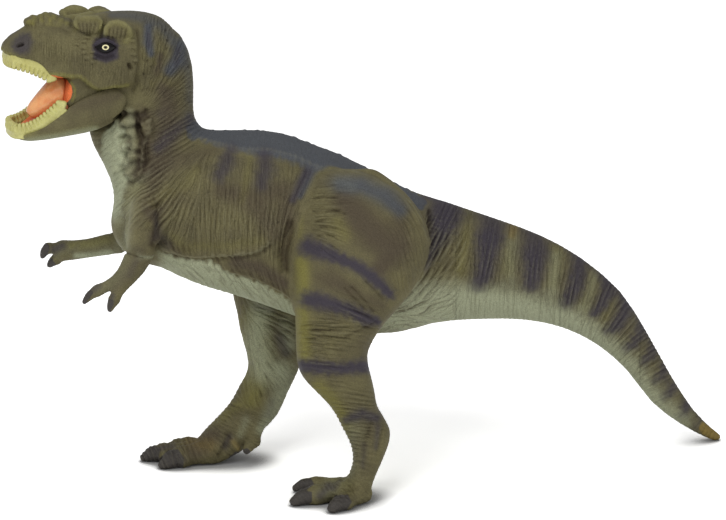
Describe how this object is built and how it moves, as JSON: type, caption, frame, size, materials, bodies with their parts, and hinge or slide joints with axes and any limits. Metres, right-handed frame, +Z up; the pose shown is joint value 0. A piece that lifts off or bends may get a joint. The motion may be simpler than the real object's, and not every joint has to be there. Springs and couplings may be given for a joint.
{
  "type": "toy dinosaur figure",
  "caption": "Striding two-legged meat-eating dinosaur figure in soft vinyl, with its head, limbs and tail plugged into the trunk and a lower jaw that closes on a hidden pin.",
  "frame": {"origin": "on the floor, under the middle of the figure's outline", "axes": "the head looks towards -X, the tail points towards +X, the figure's left side is towards -Y and +Z is up"},
  "size_m": [0.2904, 0.0876, 0.1904],
  "materials": {
    "skin": "soft vinyl with a moulded fold texture, olive brown with dark bands and a pale belly",
    "mouth": "orange gloss paint",
    "tongue": "pale orange gloss paint",
    "teeth": "pale yellow-green satin paint",
    "pin": "plain drawn wire",
    "eye": "black gloss bead with a pale ring"
  },
  "bodies": {
    "figure": {"trunk": "skin", "head": "skin", "tail": "skin", "left_forearm": "skin", "right_forearm": "skin", "left_leg": "skin", "right_leg": "skin", "upper_teeth": "teeth", "mouth_roof": "mouth", "jaw_pin": "pin", "left_eye": "eye", "right_eye": "eye"},
    "jaw": {"lower_jaw": "skin", "mouth_floor": "mouth", "tongue": "tongue", "lower_teeth": "teeth"}
  },
  "joints": [
    {"name": "jaw_hinge", "type": "hinge", "parent": "figure", "child": "jaw", "pos_m": [-0.10775, -0.00697, 0.15873], "axis": [-0.1736, 0.9848, 0], "range_deg": [0, 20]}
  ]
}
